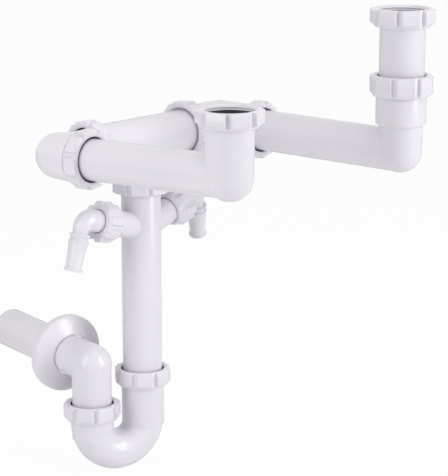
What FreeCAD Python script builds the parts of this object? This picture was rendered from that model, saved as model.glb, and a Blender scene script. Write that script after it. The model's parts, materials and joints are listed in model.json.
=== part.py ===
"""Double-bowl sink trap: two inlet arms, a branch tee, a downpipe with hose stubs, and a P bend.

Every fitting is a push-in compression joint: a plain tube end, a rubber cone ring in the bevelled
mouth of a socket, and a ribbed clamp nut that screws over the socket and presses the ring home.
Units are millimetres, +Z is up, +Y points into the wall. The origin is where the outlet of the
second bowl seats on its washer, inside the nut of arm B.
"""
import FreeCAD, Part
import math
import os
import re
import Sketcher
from FreeCAD import Placement, Rotation, Vector

DRIVING_SIZES = [
    # name, value, what it is
    ("tube_od", 40.0, "plain waste tube, outside"),
    ("tube_wall", 2.0, "wall of every tube"),
    ("large_od", 43.8, "tail tube and tee run, outside"),
    ("arm_a_od", 41.2, "long arm of inlet A, outside"),
    ("play", 0.3, "radial room between turning or sliding plastic parts"),
    ("ring_play", 0.08, "radial room between a rubber ring and its tube"),
    ("seat_gap", 0.2, "room along the axis between a nut and what it presses"),
    ("thread_rise", 3.5, "socket thread crest above the tube that it takes"),
    ("thread_length", 13.5, "threaded end of a socket"),
    ("mouth_bevel", 2.3, "bevelled mouth of a socket, across"),
    ("mouth_depth", 4.0, "bevelled mouth of a socket, along"),
    ("ring_stand", 3.0, "how far the cone ring stands out of the mouth"),
    ("ring_relief", 0.1, "room between the cone ring and the bevel"),
    ("nut_length", 17.6, "clamp nut, along"),
    ("nut_floor", 2.2, "end wall of a clamp nut"),
    ("nut_wall", 1.8, "side wall of a clamp nut"),
    ("nut_rim", 1.7, "ring of dark rubber showing round the tube in a nut's hole"),
    ("hole_bevel", 1.2, "bevel of a nut's hole"),
    ("rib_rise", 2.2, "grip rib's flat face above a nut's side wall"),
    ("rib_root", 0.2, "foot of a grip rib outside the nut's bore"),
    ("rib_width", 16.0, "grip rib of a clamp nut, across"),
    ("rib_count", 8, "grip ribs of a clamp nut"),
    ("rib_top_bevel", 2.6, "slope at the outer end of the ribs"),
    ("rib_foot_bevel", 4.0, "slope at the inner end of the ribs"),
    ("tail_nut_length", 20.7, "clamp nut of the sliding tail, along"),
    ("sink_thread", 47.8, "thread of a bowl outlet, 1 1/2 inch pipe thread"),
    ("sink_nut_floor", 2.2, "floor of a bowl nut"),
    ("sink_nut_wall", 3.6, "side wall of a bowl nut outside its thread"),
    ("sink_rib_rise", 2.7, "grip rib of a bowl nut above its side wall"),
    ("sink_rib_width", 21.0, "grip rib of a bowl nut, across"),
    ("sink_rib_count", 6, "grip ribs of a bowl nut"),
    ("sink_nut_a_length", 17.5, "bowl nut A, along"),
    ("sink_nut_b_length", 15.8, "bowl nut B, along"),
    ("flange_thick", 2.5, "flange that a bowl nut lifts"),
    ("washer_thick", 3.0, "flat washer of a bowl outlet"),
    ("washer_bore", 41.5, "flat washer of a bowl outlet, hole"),
    ("seat_relief", 0.3, "bore of a bowl nut round its washer, wider than the thread"),
    ("leg_b_od", 44.4, "upright leg of arm B, outside"),
    ("leg_b_height", 53.8, "arm B: tube axis up to the washer's top"),
    ("arm_b_run", 208.7, "arm B: leg axis to the corner elbow's centre"),
    ("arm_b_stop", 18.0, "arm B: tube end before the corner elbow's centre"),
    ("corner_turn", 2.1, "corner elbow: degrees past square"),
    ("corner_roll", 1.5, "corner elbow: degrees that arm B rises towards its bowl"),
    ("corner_mouth", 40.3, "corner elbow: centre to socket mouth"),
    ("corner_spigot", 66.0, "corner elbow: centre to spigot end"),
    ("corner_od", 48.4, "corner elbow: body at its socket, outside"),
    ("corner_end_od", 44.4, "corner elbow: body at its rounded end, outside"),
    ("tee_left", 73.6, "tee: centre to left mouth"),
    ("tee_right", 86.0, "tee: centre to spigot end"),
    ("tee_down", 48.0, "tee: centre to lower mouth"),
    ("corner_gap", 39.6, "corner elbow's centre to the tee's left mouth"),
    ("back_span", 119.6, "tee centre to back elbow centre"),
    ("back_tee_mouth", 54.6, "back elbow: centre to the mouth that takes the tee"),
    ("back_arm_mouth", 55.2, "back elbow: centre to the mouth that takes arm A"),
    ("back_od", 49.0, "back elbow: body, outside"),
    ("arm_a_run", 231.4, "arm A: leg axis to back elbow centre"),
    ("arm_a_stop", 26.0, "arm A: tube end before the back elbow's centre"),
    ("leg_a_od", 42.6, "upright leg of arm A, outside"),
    ("leg_a_height", 25.8, "arm A: tube axis up to its socket"),
    ("socket_a_od", 48.8, "socket of arm A, outside"),
    ("socket_a_height", 68.8, "arm A: tube axis up to the socket's mouth"),
    ("tail_length", 83.3, "tail tube, foot to flange top"),
    ("tail_depth", 26.8, "tail tube's depth in its socket"),
    ("downpipe_length", 237.3, "downpipe, end to end"),
    ("downpipe_depth", 16.0, "downpipe's depth in the tee"),
    ("stub_drop", 56.7, "downpipe top to where the stub axes cross"),
    ("stub_rise", 14.0, "degrees that a hose stub rises"),
    ("stub_root_od", 28.4, "hose stub at the downpipe, outside"),
    ("stub_thread", 26.4, "hose stub thread, 3/4 inch pipe thread"),
    ("stub_length", 58.0, "downpipe axis to the stub's end"),
    ("stub_bore", 18.0, "hose stub, bore"),
    ("stub_taper_end", 43.0, "downpipe axis to the start of the stub's thread"),
    ("hose_washer", 2.0, "flat washer of a hose nozzle"),
    ("hose_flange", 2.5, "flange of a hose nozzle"),
    ("hose_nut_length", 25.0, "union nut of a hose nozzle, along"),
    ("hose_nut_wall", 3.7, "union nut of a hose nozzle, side wall"),
    ("hose_rib_rise", 3.1, "union nut rib above its side wall"),
    ("hose_rib_width", 8.5, "union nut rib, across"),
    ("hose_leg_od", 22.0, "hose nozzle before its elbow, outside"),
    ("hose_reach", 88.3, "downpipe axis to the nozzle's elbow, along the stub"),
    ("hose_tail", 51.0, "nozzle elbow to its tip"),
    ("barb_start", 12.0, "nozzle elbow to its first barb"),
    ("barb_length", 4.0, "one barb, along"),
    ("barb_pitch", 4.5, "first barb to the second"),
    ("lip_length", 3.0, "lip at the nozzle's tip, along"),
    ("hose_neck_od", 17.6, "nozzle just below its elbow, outside"),
    ("hose_barb_od", 22.4, "the two upper barbs"),
    ("hose_body_od", 20.4, "nozzle below its barbs, outside"),
    ("hose_tip_od", 15.4, "nozzle just above its lip, outside"),
    ("hose_lip_od", 18.8, "lip at the nozzle's tip"),
    ("hose_bore", 11.0, "nozzle bore"),
    ("right_nozzle_turn", 12.0, "degrees that the right nozzle is swivelled"),
    ("trap_depth", 28.0, "downpipe's depth in the bend"),
    ("trap_turn", -19.0, "degrees that the bend is swivelled from the tee's run"),
    ("bend_radius", 29.0, "centre line of the bend"),
    ("bend_od", 41.0, "bend, outside"),
    ("socket_od", 43.2, "sockets of the bend, outside"),
    ("trap_in_height", 48.0, "bend's centre up to its inlet mouth"),
    ("trap_out_height", 19.6, "bend's centre up to its outlet mouth"),
    ("in_sleeve_drop", 5.7, "inlet socket below the bend's centre"),
    ("out_sleeve_drop", 13.0, "outlet socket below the bend's centre"),
    ("out_sleeve_od", 40.6, "outlet socket's narrow end, outside"),
    ("socket_floor", 2.0, "bend's centre up to the floor of its sockets"),
    ("outlet_drop", 59.6, "outlet elbow: tube axis down to the leg's end"),
    ("outlet_depth", 14.3, "outlet elbow's depth in the bend"),
    ("outlet_turn", 10.3, "degrees that the outlet points right of square"),
    ("outlet_rise", 2.0, "degrees that the wall tube rises, from an elbow of 92 degrees"),
    ("outlet_length", 149.0, "outlet elbow: leg axis to the tube's end"),
    ("outlet_root_od", 41.0, "outlet elbow: wall tube where it leaves the elbow, outside"),
    ("outlet_draft", 58.0, "outlet elbow: leg axis to where the wall tube is at its plain size"),
    ("cover_od", 79.0, "wall cover, outside"),
    ("cover_depth", 14.5, "wall cover, along"),
    ("cover_wall", 2.4, "wall cover, wall"),
    ("cover_rim", 8.5, "wall cover, straight rim"),
    ("cover_place", 49.5, "outlet leg's axis to the cover's back"),
    ("cover_play", 0.9, "radial room between the cover and the wall tube"),
]

doc = FreeCAD.newDocument("sink_trap")
sheet = doc.addObject("Spreadsheet::Sheet", "sizes")
SUBPARTS = []


def fill_sheet():
    """Write each driving size as a plain number with its name as the cell's alias."""
    for row, (alias, number, meaning) in enumerate(DRIVING_SIZES, start=1):
        sheet.set("A%d" % row, meaning)
        sheet.set("B%d" % row, str(number))
        sheet.setAlias("B%d" % row, alias)
    doc.recompute()


def spell(formula):
    """Turn a formula in plain size names into one that other objects can read."""
    names = {alias for alias, number, meaning in DRIVING_SIZES}
    return re.sub(r"[a-z]\w*", lambda word: "sizes." + word[0] if word[0] in names else word[0], formula)


def size(formula):
    """The number that a formula in plain size names stands for."""
    return float(sheet.evalExpression(spell(formula)))


def bind(thing, **formulas):
    """Tie an object's properties to formulas in plain size names."""
    for property_name, formula in formulas.items():
        thing.setExpression(property_name, spell(formula))


# ---------------------------------------------------------------- sketches and turned pieces

def outline(body, name, role, *loops):
    """Closed straight-sided loops on an origin plane, each corner tied to the sizes."""
    sketch = body.newObject("Sketcher::SketchObject", name)
    plane = [feature for feature in body.Origin.OriginFeatures if feature.Role == role][0]
    sketch.AttachmentSupport = [(plane, "")]
    sketch.MapMode = "FlatFace"
    for corners in loops:
        first = sketch.GeometryCount
        places = [Vector(size(across), size(along), 0) for across, along in corners]
        for start, end in zip(places, places[1:] + places[:1]):
            sketch.addGeometry(Part.LineSegment(start, end), False)
        for index, (across, along) in enumerate(corners):
            line = first + index
            next_line = first + (index + 1) % len(corners)
            sketch.addConstraint(Sketcher.Constraint("Coincident", line, 2, next_line, 1))
            for kind, formula, axis in (("DistanceX", across, -2), ("DistanceY", along, -1)):
                if formula == "0":
                    sketch.addConstraint(Sketcher.Constraint("PointOnObject", line, 1, axis))
                else:
                    rule = Sketcher.Constraint(kind, -1, 1, line, 1, size(formula))
                    number = sketch.addConstraint(rule)
                    sketch.setExpression("Constraints[%d]" % number, spell(formula))
    return sketch


def turn(body, corners):
    """Turn a loop of (radius, height) corners about the body's Z axis."""
    sketch = outline(body, "profile", "XZ_Plane", corners)
    turned = body.newObject("PartDesign::Revolution", "turned")
    turned.Profile = sketch
    turned.ReferenceAxis = (sketch, ["V_Axis"])
    turned.Angle = 360
    body.Tip = turned
    return turned


def new_body(label):
    """A PartDesign body that becomes one sub-part."""
    body = doc.addObject("PartDesign::Body", label)
    body.Label = label
    SUBPARTS.append(body)
    return body


def place(thing, point, direction=Vector(0, 0, 1), spin=0.0):
    """Put a piece's origin at a point, its Z axis along a direction, spun about itself."""
    aim = Rotation(Vector(0, 0, 1), direction)
    thing.Placement = Placement(point, aim.multiply(Rotation(Vector(0, 0, 1), spin)))
    return thing


# ---------------------------------------------------------------- tubes, balls and bores

def rod(radius, start, end, direction=Vector(0, 0, 1)):
    """A cylinder about a line through the origin, from one distance along it to another."""
    solid = doc.addObject("Part::Cylinder", "rod")
    bind(solid, Radius=radius, Height="(%s) - (%s)" % (end, start))
    return place(solid, direction * size(start), direction)


def taper(start_radius, end_radius, start, end, direction=Vector(0, 0, 1)):
    """A cone about a line through the origin, from one distance along it to another."""
    solid = doc.addObject("Part::Cone", "taper")
    bind(solid, Radius1=start_radius, Radius2=end_radius, Height="(%s) - (%s)" % (end, start))
    return place(solid, direction * size(start), direction)


def ball(radius, direction=Vector(0, 0, 1)):
    """The rounded outer corner of a tight elbow, its poles along a tube's direction."""
    solid = doc.addObject("Part::Sphere", "ball")
    bind(solid, Radius=radius)
    return place(solid, Vector(0, 0, 0), direction)


def fuse(solids):
    """One solid of several."""
    joined = doc.addObject("Part::MultiFuse", "joined")
    joined.Shapes = solids
    return joined


def moulding(label, outside, inside):
    """A hollow moulded fitting: all outside forms as one, less its waterway."""
    part = doc.addObject("Part::Cut", label)
    part.Base = fuse(outside)
    part.Tool = fuse(inside)
    part.Label = label
    SUBPARTS.append(part)
    return part


def socket(tube, mouth, direction=Vector(0, 0, 1)):
    """Outside thread and inside mouth bevel of a socket that takes a tube."""
    thread = rod("(%s) / 2 + thread_rise" % tube, "(%s) - thread_length" % mouth, mouth, direction)
    bore = "(%s) / 2 + play" % tube
    bevel = taper(bore, bore + " + mouth_bevel", "(%s) - mouth_depth" % mouth, mouth, direction)
    return thread, bevel


def socket_bore(tube, stop, mouth, direction=Vector(0, 0, 1)):
    """The straight bore of a socket, from its stop to its mouth."""
    return rod("(%s) / 2 + play" % tube, stop, mouth, direction)


# ---------------------------------------------------------------- nuts, rings and washers

def ribs(body, bore, wall, rise, width, count, length):
    """Flat-faced grip ribs round a nut, each sloped at both ends."""
    root = bore + " + rib_root"
    crest = "%s + %s" % (wall, rise)
    sketch = outline(body, "rib_side", "XZ_Plane", [
        (root, "0"), (wall, "0"), (crest, "rib_foot_bevel"),
        (crest, length + " - rib_top_bevel"), (wall, length), (root, length)])
    rib = body.newObject("PartDesign::Pad", "rib")
    rib.Profile = sketch
    rib.Midplane = True
    bind(rib, Length=width)
    body.Tip = rib
    doc.recompute()
    pattern = body.newObject("PartDesign::PolarPattern", "ribs")
    pattern.Originals = [rib]
    pattern.Axis = (sketch, ["V_Axis"])
    pattern.Angle = 360
    bind(pattern, Occurrences=count)
    body.Tip = pattern
    doc.recompute()


def clamp_nut(label, tube, length="nut_length"):
    """Ribbed nut: open thread end at Z = 0, end wall with the tube's hole at its length."""
    body = new_body(label)
    bore = "(%s) / 2 + thread_rise + play" % tube
    wall = bore + " + nut_wall"
    hole = "(%s) / 2 + nut_rim" % tube
    turn(body, [
        (bore, "0"), (wall, "0"), (wall, length),
        (hole + " + hole_bevel", length),
        (hole, "%s - hole_bevel" % length),
        (hole, "%s - nut_floor" % length),
        (bore, "%s - nut_floor" % length)])
    ribs(body, bore, wall, "rib_rise", "rib_width", "rib_count", length)
    return body


def cone_ring(label, tube):
    """Rubber ring with a sloped nose: narrow end at Z = 0, flat back towards the nut."""
    body = new_body(label)
    inner = "(%s) / 2 + ring_play" % tube
    bore = "(%s) / 2 + play" % tube
    turn(body, [
        (inner, "0"),
        (bore, "0"),
        (bore + " + mouth_bevel - ring_relief", "mouth_depth"),
        (bore + " + mouth_bevel - ring_relief", "mouth_depth + ring_stand"),
        (inner, "mouth_depth + ring_stand")])
    return body


def clamp(name, tube, mouth_point, direction, spin=0.0, length="nut_length"):
    """Seat a cone ring in a socket's mouth and its nut over it."""
    ring = cone_ring(name + "_ring", tube)
    place(ring, mouth_point - direction * size("mouth_depth"), direction)
    nut = clamp_nut(name + "_nut", tube, length)
    nut_foot = size("ring_stand + seat_gap + nut_floor") - size(length)
    place(nut, mouth_point + direction * nut_foot, direction, spin)


def sink_nut(label, leg, length):
    """Bowl nut: floor with the leg's hole at Z = 0, thread open to the top."""
    body = new_body(label)
    hole = "(%s) / 2 + play" % leg
    thread = "sink_thread / 2"
    wall = thread + " + sink_nut_wall"
    seat = "sink_nut_floor + seat_gap + flange_thick + washer_thick"
    turn(body, [
        (hole, "0"), (wall, "0"), (wall, length),
        (thread + " + hole_bevel", length),
        (thread, "%s - hole_bevel" % length),
        (thread, seat),
        (thread + " + seat_relief", seat),
        (thread + " + seat_relief", "sink_nut_floor"),
        (hole, "sink_nut_floor")])
    ribs(body, thread + " + seat_relief", wall, "sink_rib_rise", "sink_rib_width", "sink_rib_count", length)
    return body


def flat_washer(label, outer, inner, thick):
    """Flat rubber washer, standing on Z = 0."""
    body = new_body(label)
    turn(body, [(inner, "0"), (outer, "0"), (outer, thick), (inner, thick)])
    return body


# ---------------------------------------------------------------- where things lie

UP = Vector(0, 0, 1)
DOWN = Vector(0, 0, -1)
RIGHT = Vector(1, 0, 0)
LEFT = Vector(-1, 0, 0)
FRONT = Vector(0, -1, 0)


def heading(degrees, rise=0.0):
    """Direction at a number of degrees from +X in plan, rising by another."""
    level = math.cos(math.radians(rise))
    return Vector(level * math.cos(math.radians(degrees)),
                  level * math.sin(math.radians(degrees)),
                  math.sin(math.radians(rise)))


def arm_b_direction():
    """From the corner elbow towards inlet B: past square by its turn, then rolled about the run."""
    square = heading(size("corner_turn") - 90)
    return Rotation(RIGHT, -size("corner_roll")).multVec(square)


def lay_out():
    """The centres that the pieces are placed at, one from another."""
    spots = {}
    spots["leg_b"] = DOWN * size("leg_b_height")
    spots["corner"] = spots["leg_b"] - arm_b_direction() * size("arm_b_run")
    spots["tee"] = spots["corner"] + RIGHT * size("corner_gap + tee_left")
    spots["back"] = spots["tee"] + RIGHT * size("back_span")
    spots["leg_a"] = spots["back"] + FRONT * size("arm_a_run")
    spots["tail"] = spots["leg_a"] + UP * size("socket_a_height - tail_depth")
    spots["downpipe"] = spots["tee"] + DOWN * size("tee_down - downpipe_depth")
    spots["stubs"] = spots["downpipe"] + DOWN * size("stub_drop")
    spots["trap_in"] = spots["downpipe"] + DOWN * size("downpipe_length - trap_depth")
    across = heading(size("trap_turn"))
    spots["bend"] = spots["trap_in"] + DOWN * size("trap_in_height") - across * size("bend_radius")
    spots["trap_out"] = spots["bend"] + UP * size("trap_out_height") - across * size("bend_radius")
    spots["outlet"] = spots["trap_out"] + UP * size("outlet_drop - outlet_depth")
    return spots


# ---------------------------------------------------------------- inlet B and the corner elbow

def make_inlet_b(spots):
    """Bowl nut, washer and the one-piece leg and arm of inlet B."""
    bore = "tube_od / 2 - tube_wall"
    leg = "leg_b_od / 2"
    leg_bore = "leg_b_od / 2 - tube_wall"
    back = arm_b_direction() * -1
    flange_foot = "leg_b_height - washer_thick - flange_thick"
    flange_top = "leg_b_height - washer_thick"
    reach = "arm_b_run - arm_b_stop"
    arm = moulding(
        "arm_b",
        [ball(leg), rod(leg, "0", flange_top), rod("tube_od / 2", "0", reach, back),
         rod("sink_thread / 2 - play / 2", flange_foot, flange_top)],
        [ball(bore), rod(bore, "0", reach, back), rod(bore, "0", "leg_b_od / 2"),
         rod(leg_bore, "leg_b_od / 2", flange_top)])
    place(arm, spots["leg_b"])
    washer = flat_washer("sink_b_washer", "sink_thread / 2 - play / 2", "washer_bore / 2", "washer_thick")
    place(washer, DOWN * size("washer_thick"))
    nut = sink_nut("sink_b_nut", "leg_b_od", "sink_nut_b_length")
    place(nut, DOWN * size("sink_nut_floor + seat_gap + flange_thick + washer_thick"), UP, 12)


def make_corner(spots):
    """Corner elbow: a socket for arm B and a spigot into the tee."""
    bore = "tube_od / 2 - tube_wall"
    arm = arm_b_direction()
    thread, bevel = socket("tube_od", "corner_mouth", arm)
    collar = "corner_mouth - thread_length"
    elbow = moulding(
        "corner_elbow",
        [ball("corner_end_od / 2", arm), thread,
         taper("corner_end_od / 2", "corner_od / 2", "0", collar, arm),
         rod("tube_od / 2", "0", "corner_spigot", RIGHT)],
        [ball(bore, arm), rod(bore, "0", "arm_b_stop", arm),
         socket_bore("tube_od", "arm_b_stop - play", "corner_mouth", arm), bevel,
         rod(bore, "0", "corner_spigot", RIGHT)])
    place(elbow, spots["corner"])
    clamp("corner", "tube_od", spots["corner"] + arm * size("corner_mouth"), arm, 8)


# ---------------------------------------------------------------- tee and back elbow

def make_tee(spots):
    """Tee: socket on the left, spigot on the right, socket below."""
    run = "large_od / 2"
    bore = "large_od / 2 - tube_wall"
    left_thread, left_bevel = socket("tube_od", "tee_left", LEFT)
    down_thread, down_bevel = socket("tube_od", "tee_down", DOWN)
    tee = moulding(
        "tee",
        [rod(run, "0", "tee_left", LEFT), rod(run, "0", "tee_right", RIGHT),
         rod(run, "0", "tee_down", DOWN), left_thread, down_thread],
        [rod(bore, "0", "tee_left - thread_length", LEFT), rod(bore, "0", "tee_right", RIGHT),
         rod(bore, "0", "downpipe_depth", DOWN),
         socket_bore("tube_od", "downpipe_depth", "tee_down", DOWN), down_bevel,
         socket_bore("tube_od", "0", "tee_left", LEFT), left_bevel])
    place(tee, spots["tee"])
    clamp("tee_left", "tube_od", spots["tee"] + LEFT * size("tee_left"), LEFT, 10)
    clamp("tee_down", "tube_od", spots["tee"] + DOWN * size("tee_down"), DOWN, 5)


def make_back_elbow(spots):
    """Back elbow: sockets for the tee's spigot and for arm A."""
    bore = "arm_a_od / 2 - tube_wall"
    tee_thread, tee_bevel = socket("large_od", "back_tee_mouth", LEFT)
    arm_thread, arm_bevel = socket("arm_a_od", "back_arm_mouth", FRONT)
    body = "back_od / 2"
    elbow = moulding(
        "back_elbow",
        [ball(body), rod(body, "0", "back_tee_mouth - thread_length", LEFT), tee_thread,
         rod(body, "0", "back_arm_mouth - thread_length", FRONT), arm_thread],
        [ball(bore), rod(bore, "0", "back_tee_mouth", LEFT),
         socket_bore("large_od", "back_span - tee_right - seat_gap", "back_tee_mouth", LEFT), tee_bevel,
         rod(bore, "0", "back_arm_mouth", FRONT),
         socket_bore("arm_a_od", "arm_a_stop - seat_gap", "back_arm_mouth", FRONT), arm_bevel])
    place(elbow, spots["back"])
    clamp("back_tee", "large_od", spots["back"] + LEFT * size("back_tee_mouth"), LEFT, 4)
    clamp("back_arm", "arm_a_od", spots["back"] + FRONT * size("back_arm_mouth"), FRONT, 14)


# ---------------------------------------------------------------- inlet A

def make_inlet_a(spots):
    """Arm A with its socket, the sliding tail tube, the washer and both nuts."""
    bore = "arm_a_od / 2 - tube_wall"
    leg = "leg_a_od / 2"
    collar = "socket_a_od / 2"
    back = FRONT * -1
    reach = "arm_a_run - arm_a_stop"
    thread, bevel = socket("large_od", "socket_a_height")
    arm = moulding(
        "arm_a",
        [ball(leg), rod("arm_a_od / 2", "0", reach, back), rod(leg, "0", "leg_a_height"),
         taper(leg, collar, "leg_a_height - tube_wall / 2", "leg_a_height + tube_wall / 2"),
         rod(collar, "leg_a_height + tube_wall / 2", "socket_a_height")],
        [ball(bore), rod(bore, "0", reach, back), rod(bore, "0", "socket_a_height"),
         socket_bore("large_od", "leg_a_height + tube_wall", "socket_a_height"), bevel])
    doc.removeObject(thread.Name)
    place(arm, spots["leg_a"])
    clamp("tail", "large_od", spots["leg_a"] + UP * size("socket_a_height"), UP, 0, "tail_nut_length")

    tail = new_body("tail_tube")
    inner = "large_od / 2 - tube_wall"
    flange = "sink_thread / 2 - play / 2"
    turn(tail, [(inner, "0"), ("large_od / 2", "0"), ("large_od / 2", "tail_length - flange_thick"),
                (flange, "tail_length - flange_thick"), (flange, "tail_length"), (inner, "tail_length")])
    place(tail, spots["tail"])
    top = spots["tail"] + UP * size("tail_length")
    washer = flat_washer("sink_a_washer", flange, "washer_bore / 2", "washer_thick")
    place(washer, top)
    nut = sink_nut("sink_a_nut", "large_od", "sink_nut_a_length")
    place(nut, top + DOWN * size("flange_thick + seat_gap + sink_nut_floor"), UP, 20)


# ---------------------------------------------------------------- downpipe and hose nozzles

def stub_forms(direction):
    """Outside forms and bore of one hose stub."""
    outside = [taper("stub_root_od / 2", "stub_thread / 2", "0", "stub_taper_end", direction),
               rod("stub_thread / 2", "stub_taper_end", "stub_length", direction)]
    return outside, rod("stub_bore / 2", "0", "stub_length", direction)


def make_downpipe(spots):
    """Downpipe with its two rising hose stubs."""
    inner = "tube_od / 2 - tube_wall"
    rise = size("stub_rise")
    left_forms, left_bore = stub_forms(heading(180, rise))
    right_forms, right_bore = stub_forms(heading(0, rise))
    pipe = moulding(
        "downpipe",
        [rod("tube_od / 2", "-stub_drop", "downpipe_length - stub_drop", DOWN)] + left_forms + right_forms,
        [rod(inner, "-stub_drop", "downpipe_length - stub_drop", DOWN), left_bore, right_bore])
    place(pipe, spots["stubs"])


def nozzle(label):
    """Elbow nozzle: stub axis along +Z with the flange at Z = 0, barbed tail along +X."""
    corner = "hose_reach - stub_length - hose_washer"
    second = "barb_start + barb_pitch"
    lip = "hose_tail - lip_length"
    flange = rod("stub_thread / 2", "0", "hose_flange")
    leg = rod("hose_leg_od / 2", "0", corner)
    knee = ball("hose_leg_od / 2")
    knee.setExpression("Placement.Base.z", spell(corner))
    barbs = [
        rod("hose_neck_od / 2", "0", "hose_tail", RIGHT),
        taper("hose_barb_od / 2", "hose_neck_od / 2", "barb_start", "barb_start + barb_length", RIGHT),
        taper("hose_barb_od / 2", "hose_body_od / 2", second, second + " + barb_length", RIGHT),
        taper("hose_body_od / 2", "hose_tip_od / 2", second + " + barb_pitch", lip, RIGHT),
        rod("hose_lip_od / 2", lip, "hose_tail", RIGHT)]
    bore = rod("hose_bore / 2", "0", "hose_tail", RIGHT)
    for piece in barbs + [bore]:
        piece.setExpression("Placement.Base.z", spell(corner))
    bend_bore = ball("hose_bore / 2")
    bend_bore.setExpression("Placement.Base.z", spell(corner))
    return moulding(label, [flange, leg, knee] + barbs, [rod("hose_bore / 2", "0", corner), bend_bore, bore])


def hose_nut(label):
    """Union nut: open thread end at Z = 0, end wall with the nozzle's hole at its length."""
    body = new_body(label)
    bore = "stub_thread / 2 + play"
    wall = bore + " + hose_nut_wall"
    hole = "hose_leg_od / 2 + play"
    length = "hose_nut_length"
    turn(body, [
        (bore, "0"), (wall, "0"), (wall, length),
        (hole + " + hole_bevel", length),
        (hole, "%s - hole_bevel" % length),
        (hole, "%s - nut_floor" % length),
        (bore, "%s - nut_floor" % length)])
    ribs(body, bore, wall, "hose_rib_rise", "hose_rib_width", "rib_count", length)
    return body


def make_hose_side(spots, side, plan_angle, swivel):
    """Washer, nozzle and union nut on one stub."""
    axis = heading(plan_angle, size("stub_rise"))
    end = spots["stubs"] + axis * size("stub_length")
    washer = flat_washer("hose_washer_" + side, "stub_thread / 2", "stub_bore / 2", "hose_washer")
    place(washer, end, axis)
    spout = nozzle("hose_nozzle_" + side)
    face = end + axis * size("hose_washer")
    tail = Rotation(axis, swivel).multVec(heading(plan_angle, size("stub_rise") - 90))
    third = axis.cross(tail)
    spout.Placement = Placement(face, Rotation(tail, third, axis, "ZXY"))
    nut = hose_nut("hose_nut_" + side)
    lift = size("hose_washer + hose_flange + seat_gap + nut_floor - hose_nut_length")
    place(nut, end + axis * lift, axis, 10)


# ---------------------------------------------------------------- P bend, outlet and wall cover

def make_bend(spots):
    """P bend: two sockets of different height on a half ring."""
    ring = doc.addObject("Part::Torus", "ring")
    hollow = doc.addObject("Part::Torus", "hollow")
    bind(ring, Radius1="bend_radius", Radius2="bend_od / 2")
    bind(hollow, Radius1="bend_radius", Radius2="bend_od / 2 - tube_wall")
    for half in (ring, hollow):
        half.Angle3 = 180
        half.Placement = Placement(Vector(0, 0, 0), Rotation(RIGHT, -90))
    outside = [ring]
    inside = [hollow]
    sides = (("trap_in_height", "in_sleeve_drop", "socket_od", 1),
             ("trap_out_height", "out_sleeve_drop", "out_sleeve_od", -1))
    for height, sleeve, narrow_od, side in sides:
        thread, bevel = socket("tube_od", height)
        forms = [thread, rod("socket_od / 2", "0", height),
                 taper("%s / 2" % narrow_od, "socket_od / 2", "-" + sleeve, "0")]
        bores = [bevel, socket_bore("tube_od", "socket_floor", height),
                 rod("bend_od / 2 - tube_wall", "0", "socket_floor")]
        for form in forms + bores:
            form.Placement.Base = form.Placement.Base + RIGHT * size("bend_radius") * side
        outside += forms
        inside += bores
    bend = moulding("trap_bend", outside, inside)
    bend.Placement = Placement(spots["bend"], Rotation(UP, size("trap_turn")))
    clamp("trap_in", "tube_od", spots["trap_in"], UP, 3)
    clamp("trap_out", "tube_od", spots["trap_out"], UP, 30)


def make_outlet(spots):
    """Outlet elbow with its wall tube, and the cover that slides on it."""
    outer = "tube_od / 2"
    root = "outlet_root_od / 2"
    inner = "tube_od / 2 - tube_wall"
    wall_side = heading(90 - size("outlet_turn"), size("outlet_rise"))
    elbow = moulding(
        "outlet_elbow",
        [ball(root, wall_side), rod(outer, "0", "outlet_drop", DOWN),
         taper(root, outer, "0", "outlet_draft", wall_side),
         rod(outer, "outlet_draft", "outlet_length", wall_side)],
        [ball(inner), rod(inner, "0", "outlet_drop", DOWN), rod(inner, "0", "outlet_length", wall_side)])
    place(elbow, spots["outlet"])
    cover = new_body("wall_cover")
    hole = "tube_od / 2 + cover_play"
    rim = "cover_od / 2"
    turn(cover, [
        (rim + " - cover_wall", "0"), (rim, "0"), (rim, "cover_rim"),
        (rim + " - cover_wall", "cover_rim + cover_wall"),
        (hole + " + cover_wall", "cover_depth"), (hole, "cover_depth"),
        (hole, "cover_depth - cover_wall"),
        (rim + " - 2 * cover_wall", "cover_rim + cover_wall / 4"),
        (rim + " - cover_wall", "cover_rim - cover_wall / 2")])
    place(cover, spots["outlet"] + wall_side * size("cover_place"), wall_side * -1)


# ---------------------------------------------------------------- checks and files

def check_objects():
    """Stop if any object failed, or any sub-part is empty or broken."""
    for thing in doc.Objects:
        if "Invalid" in thing.State or "Error" in thing.State:
            raise ValueError("%s (%s) did not compute" % (thing.Name, thing.Label))
    for subpart in SUBPARTS:
        shape = subpart.Shape
        if shape.isNull() or not shape.isValid() or len(shape.Solids) != 1:
            raise ValueError("%s is not one sound solid" % subpart.Label)


def write_files():
    """One STEP file per sub-part, named by its label."""
    os.makedirs("parts", exist_ok=True)
    for subpart in SUBPARTS:
        subpart.Shape.exportStep(os.path.join("parts", subpart.Label + ".step"))
        box = subpart.Shape.BoundBox
        print("%-20s %9.0f mm3  x %7.1f %7.1f  y %7.1f %7.1f  z %7.1f %7.1f" % (
            subpart.Label, subpart.Shape.Volume,
            box.XMin, box.XMax, box.YMin, box.YMax, box.ZMin, box.ZMax))


fill_sheet()
places = lay_out()
make_inlet_b(places)
make_corner(places)
make_tee(places)
make_back_elbow(places)
make_inlet_a(places)
make_downpipe(places)
make_hose_side(places, "left", 180, 0.0)
make_hose_side(places, "right", 0, size("right_nozzle_turn"))
make_bend(places)
make_outlet(places)
doc.recompute()
check_objects()
write_files()
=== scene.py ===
# %% [markdown]
# A double-bowl sink trap in moulded white plastic. Two arms bring the water of two bowls to a tee,
# a downpipe takes it down past two hose stubs, and a P bend holds the water that keeps smells out.
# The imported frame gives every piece's size and place, so this lesson adds only the looks: softened
# edges, grips, threads, barbs, and the finish of plastic and rubber.

# %% Load the frame
import json
import math
import bmesh
import bpy
from mathutils import Matrix, Vector


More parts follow.
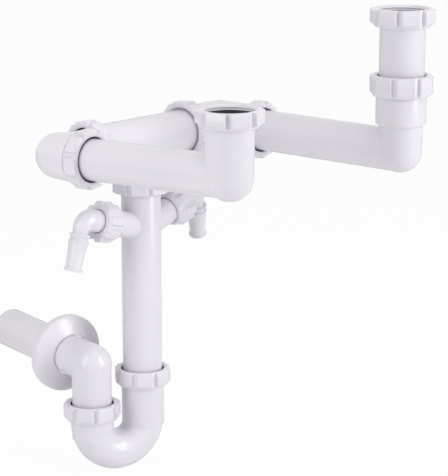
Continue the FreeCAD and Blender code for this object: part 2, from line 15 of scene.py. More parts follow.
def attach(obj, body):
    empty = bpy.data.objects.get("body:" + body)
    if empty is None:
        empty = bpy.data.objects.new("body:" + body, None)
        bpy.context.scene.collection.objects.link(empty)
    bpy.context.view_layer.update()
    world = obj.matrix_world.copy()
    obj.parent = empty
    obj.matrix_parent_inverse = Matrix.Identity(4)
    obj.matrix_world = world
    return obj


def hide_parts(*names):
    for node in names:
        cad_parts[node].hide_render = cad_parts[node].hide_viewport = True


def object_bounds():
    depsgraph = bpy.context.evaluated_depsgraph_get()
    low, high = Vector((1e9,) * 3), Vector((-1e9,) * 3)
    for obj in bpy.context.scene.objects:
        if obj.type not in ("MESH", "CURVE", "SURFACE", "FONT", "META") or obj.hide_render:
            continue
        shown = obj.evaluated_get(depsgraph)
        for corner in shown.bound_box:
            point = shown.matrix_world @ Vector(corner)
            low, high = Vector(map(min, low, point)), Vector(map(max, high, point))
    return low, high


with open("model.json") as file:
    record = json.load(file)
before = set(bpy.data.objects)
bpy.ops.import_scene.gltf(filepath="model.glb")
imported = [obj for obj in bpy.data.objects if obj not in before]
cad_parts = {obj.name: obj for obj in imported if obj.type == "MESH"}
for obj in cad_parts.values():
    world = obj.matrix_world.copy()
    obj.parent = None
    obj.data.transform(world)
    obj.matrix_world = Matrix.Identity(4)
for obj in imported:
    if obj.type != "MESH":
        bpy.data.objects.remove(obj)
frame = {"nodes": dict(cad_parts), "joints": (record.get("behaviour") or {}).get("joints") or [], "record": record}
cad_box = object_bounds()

record = frame["record"]
joints = {joint["name"]: joint for joint in frame["joints"]}
body_of = {node: body for body, nodes in record["behaviour"]["bodies"].items() for node in nodes}
print("nodes:", len(frame["nodes"]), "joints:", len(joints))

# %% [markdown]
# The camera comes first, because every later choice is judged through it. A long lens from a few
# steps away keeps the tubes nearly parallel, and it looks down a little, as a person does at a sink
# cupboard. It could track a target, but two plain angles say at once how it stands: its place is in
# metres, and its yaw and dip are in radians.

# %% Camera
CAMERA_LENS = 151.26
SENSOR_WIDTH = 36.0
FARTHEST_SEEN = 20.0
CAMERA_PLACE = Vector((-1.3196, -1.1383, 0.3023))
CAMERA_YAW = 0.8561
CAMERA_DIP = 0.2319


def add_camera():
    """A camera at its place, turned from +Y towards +X and dipped below level."""
    data = bpy.data.cameras.new("camera")
    data.lens = CAMERA_LENS
    data.sensor_width = SENSOR_WIDTH
    data.clip_end = FARTHEST_SEEN
    camera = bpy.data.objects.new("camera", data)
    bpy.context.scene.collection.objects.link(camera)
    camera.location = CAMERA_PLACE
    camera.rotation_euler = (math.pi / 2 - CAMERA_DIP, 0.0, -CAMERA_YAW)
    bpy.context.scene.camera = camera
    return camera


print("camera lens: %.1f mm" % add_camera().data.lens)

# %% [markdown]
# White plastic on white needs gentle light with a direction. Two tall soft boxes give the pair of
# upright streaks that moulded tubes show, a third one from above lights the upper sides, and the
# world fills the shadows. The world is fully white only for camera, glossy and transmission rays,
# and the floor glows only for the camera, so the background adds no light to the object.

# %% Light, floor and background
WORLD_STRENGTH = 0.47
FLOOR_SIZE = 12.0
FLOOR_MIDDLE = (0.1, 0.2)
FLOOR_GAP = 0.004
FLOOR_COLOUR = (0.93, 0.93, 0.93, 1.0)
FLOOR_ROUGHNESS = 0.9
PAPER_WHITENESS = 0.95
MIDDLE = (Vector(cad_box[0]) + Vector(cad_box[1])) / 2
COOL = (0.985, 0.985, 1.0)
WARM = (1.0, 0.965, 0.975)
# place, target, width, height, watts, tint
LAMPS = {
    "soft_box_left": ((-0.95, 0.2, 0.3), (0.0, 0.15, -0.1), 0.4, 1.1, 4.6, COOL),
    "soft_box_right": ((0.75, -1.8, 0.35), MIDDLE, 0.8, 2.0, 25, COOL),
    "soft_box_top": ((0.1, 0.0, 1.5), MIDDLE, 1.0, 1.0, 6, WARM),
}
bpy.context.scene.view_settings.view_transform = "Standard"


def soft_box(name, place, target, width, height, watts, tint):
    """A rectangular lamp at a place, facing a target."""
    data = bpy.data.lights.new(name, "AREA")
    data.shape = "RECTANGLE"
    data.size = width
    data.size_y = height
    data.energy = watts
    data.color = tint
    lamp = bpy.data.objects.new(name, data)
    bpy.context.scene.collection.objects.link(lamp)
    lamp.location = place
    lamp.rotation_euler = (Vector(target) - Vector(place)).to_track_quat("-Z", "Y").to_euler()


def fill(tree, socket, value):
    """Give an input a plain number, or link another socket to it."""
    if isinstance(value, (int, float)):
        socket.default_value = value
    else:
        tree.links.new(value, socket)


def math_node(tree, operation, first, second):
    """The result of one operation on two values, each a socket or a plain number."""
    node = tree.nodes.new("ShaderNodeMath")
    node.operation = operation
    fill(tree, node.inputs[0], first)
    fill(tree, node.inputs[1], second)
    return node.outputs[0]


def set_world():
    """A world that lights gently and shows as plain white."""
    world = bpy.data.worlds.new("studio")
    bpy.context.scene.world = world
    world.use_nodes = True
    tree = world.node_tree
    backdrop = tree.nodes["Background"]
    backdrop.inputs["Color"].default_value = (1.0, 1.0, 1.0, 1.0)
    rays = tree.nodes.new("ShaderNodeLightPath").outputs
    seen = math_node(tree, "ADD", rays["Is Camera Ray"], rays["Is Glossy Ray"])
    seen = math_node(tree, "ADD", seen, rays["Is Transmission Ray"])
    strength = tree.nodes.new("ShaderNodeMapRange")
    strength.inputs["To Min"].default_value = WORLD_STRENGTH
    tree.links.new(seen, strength.inputs["Value"])
    tree.links.new(strength.outputs["Result"], backdrop.inputs["Strength"])


def add_floor(low):
    """A wide pale floor just below the bend, near paper white for the camera."""
    bpy.ops.mesh.primitive_plane_add(size=FLOOR_SIZE, location=(*FLOOR_MIDDLE, low - FLOOR_GAP))
    floor = bpy.context.object
    floor.name = "floor"
    material = bpy.data.materials.new("pale_floor")
    material.use_nodes = True
    tree = material.node_tree
    shader = tree.nodes["Principled BSDF"]
    shader.inputs["Base Color"].default_value = FLOOR_COLOUR
    shader.inputs["Roughness"].default_value = FLOOR_ROUGHNESS
    paper = tree.nodes.new("ShaderNodeEmission")
    rays = tree.nodes.new("ShaderNodeLightPath").outputs
    blend = tree.nodes.new("ShaderNodeMixShader")
    share = math_node(tree, "MULTIPLY", rays["Is Camera Ray"], PAPER_WHITENESS)
    tree.links.new(share, blend.inputs["Fac"])
    tree.links.new(shader.outputs["BSDF"], blend.inputs[1])
    tree.links.new(paper.outputs["Emission"], blend.inputs[2])
    tree.links.new(blend.outputs["Shader"], tree.nodes["Material Output"].inputs["Surface"])
    floor.data.materials.append(material)


set_world()
add_floor(cad_box[0][2])
for name, facts in LAMPS.items():
    soft_box(name, *facts)
print("lamps:", len(LAMPS), "middle of the object:", [round(number, 3) for number in MIDDLE])

# %% [markdown]
# Moulded polypropylene isn't one even colour: the melt cools in faint clouds, and a fine grain and
# an uneven gloss break up its reflections. One node group gives these for plastic and rubber alike:
# a cloud mask, a grain height and a roughness, all read from Object coordinates, so that they stay
# put on the piece.

# %% Shader groups
SWIRL_SCALE = 55.0
GRAIN_STRENGTH = 0.25


def group(name, numbers, results):
    """An empty shader node group with named number inputs and named results."""
    tree = bpy.data.node_groups.new(name, "ShaderNodeTree")
    for label, default in numbers.items():
        socket = tree.interface.new_socket(name=label, in_out="INPUT", socket_type="NodeSocketFloat")
        socket.default_value = default
    for label, kind in results.items():
        tree.interface.new_socket(name=label, in_out="OUTPUT", socket_type=kind)
    return tree, tree.nodes.new("NodeGroupInput"), tree.nodes.new("NodeGroupOutput")


def noise(tree, scale, detail, vector):
    """A noise texture read at a vector, its scale a socket or a plain number."""
    texture = tree.nodes.new("ShaderNodeTexNoise")
    fill(tree, texture.inputs["Scale"], scale)
    texture.inputs["Detail"].default_value = detail
    tree.links.new(vector, texture.inputs["Vector"])
    return texture.outputs["Fac"]


def moulding_skin_group():
    """Clouds, fine grain and uneven gloss of a moulded surface."""
    tree, given, result = group(
        "moulding_skin",
        {"Gloss": 0.3, "Gloss Change": 0.08, "Cloud Scale": 18.0, "Grain Scale": 900.0},
        {"Cloud": "NodeSocketFloat", "Roughness": "NodeSocketFloat", "Grain": "NodeSocketFloat"})
    given, result = given.outputs, result.inputs
    place = tree.nodes.new("ShaderNodeTexCoord").outputs["Object"]
    swirl = noise(tree, SWIRL_SCALE, 4.0, place)
    change = math_node(tree, "MULTIPLY", swirl, given["Gloss Change"])
    tree.links.new(math_node(tree, "ADD", given["Gloss"], change), result["Roughness"])
    tree.links.new(noise(tree, given["Cloud Scale"], 3.0, place), result["Cloud"])
    tree.links.new(noise(tree, given["Grain Scale"], 2.0, place), result["Grain"])
    return tree


SKIN = moulding_skin_group()


def moulded_material(name, deep, pale, gloss, gloss_change, grain_depth):
    """A moulded material between two close colours."""
    material = bpy.data.materials.new(name)
    material.use_nodes = True
    tree = material.node_tree
    shader = tree.nodes["Principled BSDF"]
    skin = tree.nodes.new("ShaderNodeGroup")
    skin.node_tree = SKIN
    skin.inputs["Gloss"].default_value = gloss
    skin.inputs["Gloss Change"].default_value = gloss_change
    shade = tree.nodes.new("ShaderNodeMix")
    shade.data_type = "RGBA"
    shade.inputs["A"].default_value = (*deep, 1.0)
    shade.inputs["B"].default_value = (*pale, 1.0)
    bump = tree.nodes.new("ShaderNodeBump")
    bump.inputs["Strength"].default_value = GRAIN_STRENGTH
    bump.inputs["Distance"].default_value = grain_depth
    tree.links.new(skin.outputs["Cloud"], shade.inputs["Factor"])
    tree.links.new(shade.outputs["Result"], shader.inputs["Base Color"])
    tree.links.new(skin.outputs["Roughness"], shader.inputs["Roughness"])
    tree.links.new(skin.outputs["Grain"], bump.inputs["Height"])
    tree.links.new(bump.outputs["Normal"], shader.inputs["Normal"])
    return material


WHITE = moulded_material("white_polypropylene", deep=(0.735, 0.715, 0.765), pale=(0.80, 0.775, 0.825),
                         gloss=0.17, gloss_change=0.07, grain_depth=0.00005)
GREY_SEAL = moulded_material("grey_sealing_ring", deep=(0.46, 0.45, 0.48), pale=(0.54, 0.53, 0.56),
                             gloss=0.45, gloss_change=0.12, grain_depth=0.00008)
RUBBER = moulded_material("black_rubber", deep=(0.016, 0.016, 0.018), pale=(0.03, 0.03, 0.032),
                          gloss=0.55, gloss_change=0.15, grain_depth=0.0001)
for node, thing in frame["nodes"].items():
    is_rubber = node.endswith("_ring") or "washer" in node
    for slot in thing.material_slots:
        slot.material = RUBBER if is_rubber else WHITE
print("materials:", [material.name for material in bpy.data.materials])

# %% [markdown]
# A frame node is a mesh of loose triangles with perfectly sharp edges, and no moulding has those:
# the tool that cut the mould left a small radius, and a knife-sharp edge catches no light. So a
# moulding can be copied, its triangles merged into faces, and its sharp edges beveled. Whatever
# stands for a node, a softened copy or a new shape, rides on that node's own body.

# %% Softened copies
SHARP_ANGLE = math.radians(24)
SMOOTH_ANGLE = math.radians(32)
FLAT_ANGLE = math.radians(0.4)
MERGE_GAP = 0.00002
BEVEL_STEPS = 3
replaced = set()


def active_only(thing):
    """Deselect everything and make one object the active one."""
    bpy.ops.object.select_all(action="DESELECT")
    thing.select_set(True)
    bpy.context.view_layer.objects.active = thing


def copy_of(node, name):
    """A merged copy of a frame node, as an object of its own."""
    piece = frame["nodes"][node].copy()
    piece.data = piece.data.copy()
    piece.name = name
    bpy.context.scene.collection.objects.link(piece)
    active_only(piece)
    bpy.ops.object.mode_set(mode="EDIT")
    bpy.ops.mesh.select_all(action="SELECT")
    bpy.ops.mesh.remove_doubles(threshold=MERGE_GAP)
    bpy.ops.mesh.dissolve_limited(angle_limit=FLAT_ANGLE)
    bpy.ops.object.mode_set(mode="OBJECT")
    return piece


def soften(piece, radius):
    """Round the sharp edges of a piece."""
    active_only(piece)
    bevel = piece.modifiers.new("rounded_edges", "BEVEL")
    bevel.width = radius
    bevel.segments = BEVEL_STEPS
    bevel.limit_method = "ANGLE"
    bevel.angle_limit = SHARP_ANGLE
    bevel.use_clamp_overlap = True
    bpy.ops.object.modifier_apply(modifier=bevel.name)
    bpy.ops.object.shade_smooth_by_angle(angle=SMOOTH_ANGLE)


def fit(piece, node, material):
    """Give a finished piece its material, its body and the node that it stands for."""
    piece.data.materials.clear()
    piece.data.materials.append(material)
    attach(piece, body_of[node])
    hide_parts(node)
    replaced.add(node)


print("bevel from %.0f degrees up" % math.degrees(SHARP_ANGLE))

# %% [markdown]
# The nuts, rings, washers and the wall cover are turned shapes, so they are built the way a turner
# thinks of them: a circle is extruded and resized from corner to corner of the section until it is
# back at its start. Before that, each frame node is measured in its own axes, which gives its place,
# its length and its radii.

# %% Measure a turned piece
MM = 0.001
CORNER_BAND = 0.1 * MM


def axis_of(joint):
    """Direction of a joint in the frame."""
    return Vector(joints[joint]["axis"]).normalized()


def measure(node, axis, grips=0, grip_half=0.0):
    """Place, length, smallest and largest radius of a turned piece, its grips turned to +X."""
    turn = axis.to_track_quat("Z", "Y").to_matrix()
    points = [turn.transposed() @ vertex.co for vertex in frame["nodes"][node].data.vertices]
    low = Vector([min(point[side] for point in points) for side in range(3)])
    high = Vector([max(point[side] for point in points) for side in range(3)])
    foot = Vector(((low.x + high.x) / 2, (low.y + high.y) / 2, low.z))
    flat = [(point - foot).xy for point in points]
    reach = max(point.length for point in flat)
    spin = 0.0
    if grips:
        far = [math.atan2(point.y, point.x) for point in flat if point.length > reach - CORNER_BAND]
        spin = math.atan2(sum(math.sin(grips * angle) for angle in far),
                          sum(math.cos(grips * angle) for angle in far)) / grips
        if math.cos(grips * math.asin(grip_half / reach)) < 0:
            spin += math.pi / grips
    place = Matrix.Translation(turn @ foot) @ turn.to_4x4() @ Matrix.Rotation(spin, 4, "Z")
    return {"place": place, "length": high.z - low.z, "reach": reach,
            "hole": min(point.length for point in flat)}


sample = measure("wall_cover", -axis_of("cover_slide"))
print("wall cover: radius %.1f mm, depth %.1f mm" % (sample["reach"] / MM, sample["length"] / MM))

# %% [markdown]
# A washer is turned whole, but a ribbed nut repeats itself: only the share that carries one grip is
# modelled, and it is spun round in copies at the end. Both start from the same circle, cut down to
# an arc where a share is wanted. The finished shape is copied to each place that takes it.

# %% Turn a section
FINE_SIDES = 96
ARC_SLACK = 0.001


def choose(kind, test):
    """Select the vertices or faces in edit mode whose middle and normal pass a test."""
    data = bpy.context.edit_object.data
    bpy.ops.mesh.select_mode(type="VERT" if kind == "verts" else "FACE")
    bpy.ops.mesh.select_all(action="DESELECT")
    for part in getattr(bmesh.from_edit_mesh(data), kind):
        middle = part.co if kind == "verts" else part.calc_center_median()
        if test(middle, part.normal):
            part.select_set(True)
    bmesh.update_edit_mesh(data)


def angle_of(point):
    """Angle of a point about Z, from +X."""
    return math.atan2(point.y, point.x)


def start_circle(name, radius, height, sides):
    """A circle about Z, open for editing."""
    bpy.ops.object.select_all(action="DESELECT")
    bpy.ops.mesh.primitive_circle_add(vertices=sides, radius=radius, location=(0, 0, height))
    piece = bpy.context.object
    piece.name = piece.data.name = name
    bpy.ops.object.transform_apply(location=True)
    bpy.ops.object.mode_set(mode="EDIT")
    bpy.ops.mesh.select_mode(type="VERT")
    bpy.ops.mesh.select_all(action="SELECT")
    return piece


def run_through(corners):
    """Extrude the selected ring from the first corner of a section through all the others."""
    for (old_radius, old_height), (radius, height) in zip(corners, corners[1:]):
        step = (0, 0, height - old_height)
        bpy.ops.mesh.extrude_region_move(TRANSFORM_OT_translate={"value": step})
        growth = radius / old_radius
        bpy.ops.transform.resize(value=(growth, growth, 1), center_override=(0, 0, height))


def merge_up():
    """Merge what lies together and point the faces outwards."""
    bpy.ops.mesh.select_all(action="SELECT")
    bpy.ops.mesh.remove_doubles(threshold=MERGE_GAP)
    bpy.ops.mesh.normals_make_consistent(inside=False)


def turned(name, corners, share=1, sides=FINE_SIDES):
    """Take a circle, or one share of it, through the corners of a section and back to its start."""
    piece = start_circle(name, *corners[0], sides)
    if share > 1:
        edge = math.pi / share + ARC_SLACK
        choose("verts", lambda middle, normal: abs(angle_of(middle)) > edge)
        bpy.ops.mesh.delete(type="VERT")
        bpy.ops.mesh.select_all(action="SELECT")
    run_through(corners + corners[:1])
    merge_up()
    return piece


def close_up(piece, radius):
    """Leave edit mode and round the sharp edges."""
    bpy.ops.object.mode_set(mode="OBJECT")
    soften(piece, radius)


def seat(master, node, place, material, name):
    """Copy a finished shape with its own mesh, and put its place into the mesh."""
    piece = master.copy()
    piece.data = master.data.copy()
    piece.name = piece.data.name = name
    bpy.context.scene.collection.objects.link(piece)
    piece.matrix_world = place
    active_only(piece)
    bpy.ops.object.transform_apply(location=True, rotation=True, scale=True)
    fit(piece, node, material)


def put_away(master):
    """Remove a shape that was only copied."""
    bpy.data.objects.remove(master)


print("sides of a turned piece:", FINE_SIDES)

# %% [markdown]
# A grip is a flat pad that stands proud of the nut's wall and slopes away at both ends, so that the
# nut leaves its mould and wet fingers still hold it. The wall's faces inside the pad's width are
# extruded outwards, flattened into one plane, and shortened about the height that leaves the wanted
# slopes at foot and top.

# %% Raise a grip
WIDE_GRIP = math.radians(18.8)
NARROW_GRIP = math.radians(15.1)
WALL_BAND = 0.3 * MM
UPRIGHT = 0.9
FOOT_SHARE = 0.2


def raise_grip(wall, rise, half_angle, length, foot, top, waist=1.0):
    """Extrude the outer wall within an angle of +X, flatten it and slope its ends."""
    choose("faces", lambda middle, normal: (middle.xy.length > wall - WALL_BAND
           and normal.xy.length > UPRIGHT and abs(angle_of(middle)) < half_angle
           and middle.z > FOOT_SHARE * length))
    bpy.ops.mesh.extrude_region_move(TRANSFORM_OT_translate={"value": (rise, 0, 0)})
    crest = wall + rise
    bpy.ops.transform.resize(value=(0, 1, 1), center_override=(crest, 0, 0))
    shrink = (length - foot - top) / length
    still = foot / (1 - shrink)
    bpy.ops.transform.resize(value=(1, waist, shrink), center_override=(0, 0, still))


def spin_round(count):
    """Copy the share round the axis until the ring is whole."""
    bpy.ops.mesh.select_all(action="SELECT")
    turn = 2 * math.pi * (count - 1) / count
    bpy.ops.mesh.spin(steps=count - 1, dupli=True, angle=turn, center=(0, 0, 0), axis=(0, 0, 1))
    merge_up()


print("grips of %.1f and %.1f degrees" % tuple(
    math.degrees(2 * half) for half in (WIDE_GRIP, NARROW_GRIP)))

# %% [markdown]
# A clamp nut has eight wide grips, a floor that presses the cone ring home, and a hole bevelled on
# its outer side. One nut is modelled for each tube size and copied to every joint that takes that
# size, because that is how they leave the mould. The frame's own grips only give the angle at which
# each one stands.

# %% Clamp nuts
GRIPS = 8
GRIP_HALF = 8.0 * MM
GRIP_FOOT, GRIP_TOP = 3.2 * MM, 0.9 * MM
NUT_FLOOR = 2.2 * MM
MOUTH_BEVEL = 1.2 * MM
CLAMP_ROOM = 2.1 * MM
CLAMP_WALL = 1.8 * MM
CLAMP_RISE = 2.2 * MM
CLAMP_FOOT_IN, CLAMP_FOOT_UP = 0.7 * MM, 1.2 * MM
CLAMP_ROUNDING = 0.6 * MM
CLAMP_NUTS = ("corner_nut", "tee_left_nut", "tee_down_nut", "trap_in_nut", "trap_out_nut",
              "back_tee_nut", "back_arm_nut", "tail_nut")


def clamp_nut(hole, length):
    """One share with its grip, spun round and softened."""
    bore = hole + CLAMP_ROOM
    wall = bore + CLAMP_WALL
    floor = length - NUT_FLOOR
    nut = turned("clamp_nut", [
        (bore, 0.0), (wall - CLAMP_FOOT_IN, 0.0), (wall, CLAMP_FOOT_UP), (wall, length),
        (hole + MOUTH_BEVEL, length), (hole, length - MOUTH_BEVEL), (hole, floor), (bore, floor)],
        share=GRIPS)
    raise_grip(wall, CLAMP_RISE, WIDE_GRIP, length, GRIP_FOOT, GRIP_TOP)
    spin_round(GRIPS)
    close_up(nut, CLAMP_ROUNDING)
    return nut


masters = {}
for node in CLAMP_NUTS:
    found = measure(node, axis_of(node + "_turn"), GRIPS, GRIP_HALF)
    kind = (round(found["hole"] / MM, 1), round(found["length"] / MM, 1))
    if kind not in masters:
        masters[kind] = clamp_nut(found["hole"], found["length"])
    seat(masters[kind], node, found["place"], WHITE, "ribbed_" + node)
for master in masters.values():
    put_away(master)
print("clamp nuts:", len(CLAMP_NUTS), "from", len(masters), "sizes")

# %% [markdown]
# The two bowl nuts are larger, and their thread stays in view from above. Its turns are corners of
# the section, one pitch apart and slanted like a thread's flanks. A true thread is a helix, but
# separate turns look the same and keep the section closed. The frame has six grips here and the real
# nut has eight, so the grips are modelled anew, at the angles at which the nuts stand.

# %% Bowl nuts
SOLID_GRIPS = 6
SOLID_GRIP_HALF = 10.5 * MM
BOWL_TURNS = {"sink_a_nut": math.radians(-13.0), "sink_b_nut": math.radians(4.0)}
BOWL_WALL = 3.6 * MM
BOWL_RISE = 2.7 * MM
BOWL_FOOT_IN, BOWL_FOOT_UP = 1.0 * MM, 1.4 * MM
BOWL_SEAT = 8.1 * MM
SEAT_ROOM = 0.3 * MM
THREAD_PITCH = 2.3 * MM
THREAD_DEPTH = 0.9 * MM
CREST_START, CREST_END = 0.45, 0.6
WIDE_NUT_ROUNDING = 0.5 * MM


def bowl_nut(hole, reach, length):
    """Floor with a hole, a smooth seat for flange and washer, then turns of thread to the top."""
    wall = math.sqrt(reach ** 2 - SOLID_GRIP_HALF ** 2) - BOWL_RISE
    thread = wall - BOWL_WALL
    height = length - MOUTH_BEVEL
    section = [(hole, 0.0), (wall - BOWL_FOOT_IN, 0.0), (wall, BOWL_FOOT_UP), (wall, length),
               (thread + MOUTH_BEVEL, length), (thread, height)]
    while height - THREAD_PITCH > BOWL_SEAT:
        section += [(thread - THREAD_DEPTH, height - CREST_START * THREAD_PITCH),
                    (thread - THREAD_DEPTH, height - CREST_END * THREAD_PITCH),
                    (thread, height - THREAD_PITCH)]
        height -= THREAD_PITCH
    section += [(thread + SEAT_ROOM, BOWL_SEAT), (thread + SEAT_ROOM, NUT_FLOOR), (hole, NUT_FLOOR)]
    nut = turned("bowl_nut", section, share=GRIPS)
    raise_grip(wall, BOWL_RISE, WIDE_GRIP, length, GRIP_FOOT, GRIP_TOP)
    spin_round(GRIPS)
    close_up(nut, WIDE_NUT_ROUNDING)
    return nut


for node, angle in BOWL_TURNS.items():
    found = measure(node, Vector((0, 0, 1)), SOLID_GRIPS, SOLID_GRIP_HALF)
    nut = bowl_nut(found["hole"], found["reach"], found["length"])
    seat(nut, node, found["place"] @ Matrix.Rotation(angle, 4, "Z"), WHITE, "threaded_" + node)
    put_away(nut)
    print(node, "reach %.1f mm" % (found["reach"] / MM))

# %% [markdown]
# The union nuts of the hose nozzles are long and thin, with eight narrow ribs that run out towards
# the downpipe, where the nut's mouth takes the stub's thread. They are the clamp nut's method with
# other numbers: a longer section, narrower grips, a long slope at the foot, and a waist that draws
# each rib's crest in sideways.

# %% Union nuts
UNION_GRIP_HALF = 4.25 * MM
UNION_ROOM = 2.2 * MM
UNION_WALL = 3.7 * MM
UNION_RISE = 3.1 * MM
UNION_FOOT_IN, UNION_FOOT_UP = 1.6 * MM, 3.0 * MM
UNION_FOOT, UNION_TOP = 7.0 * MM, 1.6 * MM
UNION_WAIST = 0.85
SIDES = ("left", "right")


def union_nut(hole, length):
    """A long nut whose ribs slope down to its threaded mouth."""
    bore = hole + UNION_ROOM
    wall = bore + UNION_WALL
    floor = length - NUT_FLOOR
    nut = turned("union_nut", [
        (bore, 0.0), (wall - UNION_FOOT_IN, 0.0), (wall, UNION_FOOT_UP), (wall, length),
        (hole + MOUTH_BEVEL, length), (hole, length - MOUTH_BEVEL), (hole, floor), (bore, floor)],
        share=GRIPS)
    raise_grip(wall, UNION_RISE, NARROW_GRIP, length, UNION_FOOT, UNION_TOP, UNION_WAIST)
    spin_round(GRIPS)
    close_up(nut, WIDE_NUT_ROUNDING)
    return nut


found = {side: measure("hose_nut_" + side, axis_of("hose_nut_%s_turn" % side),
                       GRIPS, UNION_GRIP_HALF) for side in SIDES}
nut = union_nut(found["left"]["hole"], found["left"]["length"])
for side in SIDES:
    seat(nut, "hose_nut_" + side, found[side]["place"], WHITE, "union_nut_" + side)
put_away(nut)
print("union nuts: hole %.1f mm" % (found["left"]["hole"] / MM))

# %% [markdown]
# A hose nozzle is one piece: a flange under the union nut, a leg that swings round a tight elbow and
# narrows as it goes, and a tail with two sharp barbs, a slim body and a lip at its tip. A ring is
# extruded from centre to centre of the elbow, and at each one it is turned and made smaller. It then
# comes all the way back as the bore. The rotate operator turns the other way with no window, so its
# angle is given with a minus sign. The flange stops just short of the washer, so that it can swivel.

# %% Hose nozzles
BEND_STEPS = 10
NOZZLE_SIDES = 64
NOZZLE_BORE = 5.5 * MM
FACE_GAP = 0.05 * MM
FLANGE_REACH, FLANGE_THICK = 13.2 * MM, 2.5 * MM
LEG, NECK = 11.0 * MM, 7.9 * MM
TAIL_TILT = math.radians(3.0)
TIP_SHARE = 0.8
NOZZLE_ROUNDING = 0.25 * MM
# The next values are in millimetres. BARBS holds distances along the tail and radii, and TIP holds
# distances back from its end and radii.
BEND_RADIUS, BEND_DROP, BEND_PULL = 12.0, 11.6, 3.1
BARBS = [(2.3, 7.6), (2.6, 10.4), (3.2, 10.6), (6.8, 8.7), (8.6, 8.7), (8.9, 10.4), (9.5, 10.5),
         (13.4, 9.3), (20.0, 9.0)]
TIP = [(4.2, 8.0), (3.2, 8.2), (2.8, 9.1), (1.0, 9.2), (0.2, 8.8), (0.0, 8.2), (0.0, 5.6),
       (0.6, 5.5)]


def swing(places, radii, angle):
    """Extrude the selected ring along centres, turning it an equal share of an angle each time."""
    for old, new, old_radius, radius in zip(places, places[1:], radii, radii[1:]):
        bpy.ops.mesh.extrude_region_move(TRANSFORM_OT_translate={"value": new - old})
        bpy.ops.transform.rotate(value=-angle / (len(places) - 1), orient_axis="Y",
                                 center_override=new)
        bpy.ops.transform.resize(value=(radius / old_radius,) * 3, center_override=new)


def reach_along(start, direction, corners, first_radius):
    """Extrude the selected ring to distances along a direction, with a radius at each."""
    place, old_radius = start, first_radius
    for distance, radius in corners:
        new = start + direction * distance
        bpy.ops.mesh.extrude_region_move(TRANSFORM_OT_translate={"value": new - place})
        bpy.ops.transform.resize(value=(radius / old_radius,) * 3, center_override=new)
        place, old_radius = new, radius


def hose_nozzle(corner, tip):
    """Flange, leg, narrowing elbow, barbed tail, and the bore back to the flange."""
    turn = math.pi / 2 - TAIL_TILT
    pivot = Vector((BEND_RADIUS * MM, 0.0, corner - BEND_DROP * MM))
    places, radii = [], []
    for step in range(BEND_STEPS + 1):
        share = step / BEND_STEPS
        far = (BEND_RADIUS - BEND_PULL * share) * MM
        places.append(pivot + far * Vector((-math.cos(turn * share), 0.0, math.sin(turn * share))))
        radii.append(LEG + (NECK - LEG) * share)
    nozzle = start_circle("hose_nozzle", NOZZLE_BORE, FACE_GAP, NOZZLE_SIDES)
    run_through([(NOZZLE_BORE, FACE_GAP), (FLANGE_REACH, FACE_GAP), (FLANGE_REACH, FLANGE_THICK),
                 (LEG, FLANGE_THICK), (LEG, pivot.z)])
    swing(places, radii, turn)
    tail = Vector((math.sin(turn), 0.0, math.cos(turn)))
    length = (tip - places[-1].x) / tail.x / MM
    body = BARBS + [(length - back, radius) for back, radius in TIP]
    corners = [(distance * MM, radius * MM) for distance, radius in body] + [(0.0, NOZZLE_BORE)]
    reach_along(places[-1], tail, corners, NECK)
    swing(places[::-1], [NOZZLE_BORE] * len(places), -turn)
    run_through([(NOZZLE_BORE, pivot.z), (NOZZLE_BORE, FACE_GAP)])
    merge_up()
    close_up(nozzle, NOZZLE_ROUNDING)
    return nozzle


def nozzle_seat(side):
    """Place of a nozzle's flange, its local Z along the stub and X along its tail."""
    axis = axis_of("nozzle_%s_swivel" % side)
    washer = measure("hose_washer_" + side, axis)
    face = washer["place"].translation + axis * washer["length"]
    offsets = [vertex.co - face for vertex in frame["nodes"]["hose_nozzle_" + side].data.vertices]
    across = [offset - axis * offset.dot(axis) for offset in offsets]
    reach = max(offset.length for offset in across)
    end = [index for index, offset in enumerate(across) if offset.length > TIP_SHARE * reach]
    tail = sum((across[index] for index in end), Vector()).normalized()
    heights = [offsets[index].dot(axis) for index in end]
    turn = Matrix((tail, axis.cross(tail), axis)).transposed().to_4x4()
    return {"place": Matrix.Translation(face) @ turn, "corner": (min(heights) + max(heights)) / 2,
            "tip": max(offset.dot(tail) for offset in across)}


seats = {side: nozzle_seat(side) for side in SIDES}
corner, tip = seats["left"]["corner"], seats["left"]["tip"]
nozzle = hose_nozzle(corner, tip)
for side in SIDES:
    seat(nozzle, "hose_nozzle_" + side, seats[side]["place"], WHITE, "barbed_nozzle_" + side)
put_away(nozzle)
print("nozzle: corner at %.1f mm, tip at %.1f mm" % (corner / MM, tip / MM))

# %% [markdown]
# The wall cover hides the hole in the wall. It is a shallow dish with a straight rim band, a gently
# domed face and a small collar that hugs the tube. A dome could be cut from a sphere, but a turned
# section gives band, dome and collar in one go, with an even wall behind them.

# %% Wall cover
COVER_SIDES = 128
COVER_WALL = 2.4 * MM
COVER_BAND = 8.5 * MM
COVER_ROUNDING = 0.5 * MM
# millimetres in from the rim, share of the dome's rise
DOME = [(1.0, 0.0), (6.0, 0.42), (12.0, 0.72)]


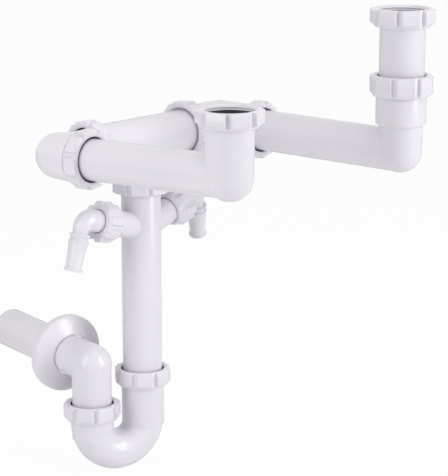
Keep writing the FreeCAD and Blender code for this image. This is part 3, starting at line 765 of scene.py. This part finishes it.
def wall_cover(hole, rim, depth):
    """Rim band, domed face in three slopes, collar, and the same again inside."""
    rise = depth - COVER_BAND
    dome = [(rim - inward * MM, COVER_BAND + share * rise) for inward, share in DOME]
    crown_radius, crown_height = dome[-1]
    cover = turned("wall_cover", [
        (rim - COVER_WALL, 0.0), (rim, 0.0), (rim, COVER_BAND - 1.0 * MM), *dome,
        (hole + 3.5 * MM, depth - 0.8 * MM), (hole + 2.2 * MM, depth), (hole, depth),
        (hole, depth - COVER_WALL), (hole + 4.0 * MM, depth - COVER_WALL - 0.6 * MM),
        (crown_radius, crown_height - COVER_WALL),
        (rim - COVER_WALL - 3.0 * MM, COVER_BAND + 0.3 * rise - COVER_WALL / 2),
        (rim - COVER_WALL, COVER_BAND - COVER_WALL)], sides=COVER_SIDES)
    close_up(cover, COVER_ROUNDING)
    return cover


found = measure("wall_cover", -axis_of("cover_slide"))
cover = wall_cover(found["hole"], found["reach"], found["length"])
seat(cover, "wall_cover", found["place"], WHITE, "domed_wall_cover")
put_away(cover)
print("wall cover: hole %.1f mm" % (found["hole"] / MM))

# %% [markdown]
# The seals are what make the trap tight. Each cone ring has a sloped nose that the nut drives into
# the bevelled mouth of a socket; the washers are plain flat rings. Both are turned at once at their
# own size, because no two of them need be alike. Most are black rubber, and the ring between the
# back elbow and the tee is a grey one. The washer of bowl B waits for its bowl, and it is drawn
# thicker than in the frame. Its black rubber face is real, and the extra height lifts that black up
# into the open nut as painted shade for the nut's dark hollow.

# %% Cone rings and washers
RING_AXES = {nut.replace("_nut", "_ring"): nut + "_turn" for nut in CLAMP_NUTS}
WASHER_AXES = {"sink_a_washer": "bowl_nut_a_turn", "sink_b_washer": "arm_b_swivel",
               "hose_washer_left": "hose_nut_left_turn", "hose_washer_right": "hose_nut_right_turn"}
GREY_RINGS = ("back_tee_ring",)
RAISED_FOR_PAINTED_SHADE = {"sink_b_washer": 3.0 * MM}
CONE_NOSE = 4.0 * MM
SEAL_ROUNDING = 0.2 * MM


def cone_ring(hole, reach, length):
    """Sloped nose, straight band, flat back with a fine groove."""
    return turned("cone_ring", [
        (hole, 0.0), (reach - 2.2 * MM, 0.0), (reach, CONE_NOSE), (reach, length),
        (hole + 1.6 * MM, length), (hole + 1.2 * MM, length - 0.4 * MM),
        (hole + 0.8 * MM, length), (hole, length)])


def flat_washer(hole, reach, length):
    """A flat ring with a shallow groove in its upper face."""
    middle = (hole + reach) / 2
    return turned("flat_washer", [
        (hole, 0.0), (reach, 0.0), (reach, length), (middle + 0.5 * MM, length),
        (middle, length - 0.3 * MM), (middle - 0.5 * MM, length), (hole, length)])


for axes, make in ((RING_AXES, cone_ring), (WASHER_AXES, flat_washer)):
    for node, joint in axes.items():
        found = measure(node, axis_of(joint))
        # Bowl B's washer is drawn taller here, so its black rubber face also stands in as painted shade in the
        # nut's hollow.
        height = found["length"] + RAISED_FOR_PAINTED_SHADE.get(node, 0.0)
        seal = make(found["hole"], found["reach"], height)
        close_up(seal, SEAL_ROUNDING)
        finish = GREY_SEAL if node in GREY_RINGS else RUBBER
        seat(seal, node, found["place"], finish, "seal_" + node)
        put_away(seal)
print("seals:", len(RING_AXES) + len(WASHER_AXES))

# %% [markdown]
# What is left are the moulded fittings: arms, elbows, tee, downpipe and bend. Their outsides are
# tubes and rounded corners that the frame already has right, so each is a softened copy rather than
# a new shape: where two tubes meet, the mould's own small radius catches a line of light.

# %% Softened fittings
FITTING_RADIUS = 0.8 * MM
fittings = [node for node in frame["nodes"] if node not in replaced]
for node in fittings:
    moulding = copy_of(node, "moulded_" + node)
    soften(moulding, FITTING_RADIUS)
    fit(moulding, node, WHITE)
print("fittings:", ", ".join(sorted(fittings)))
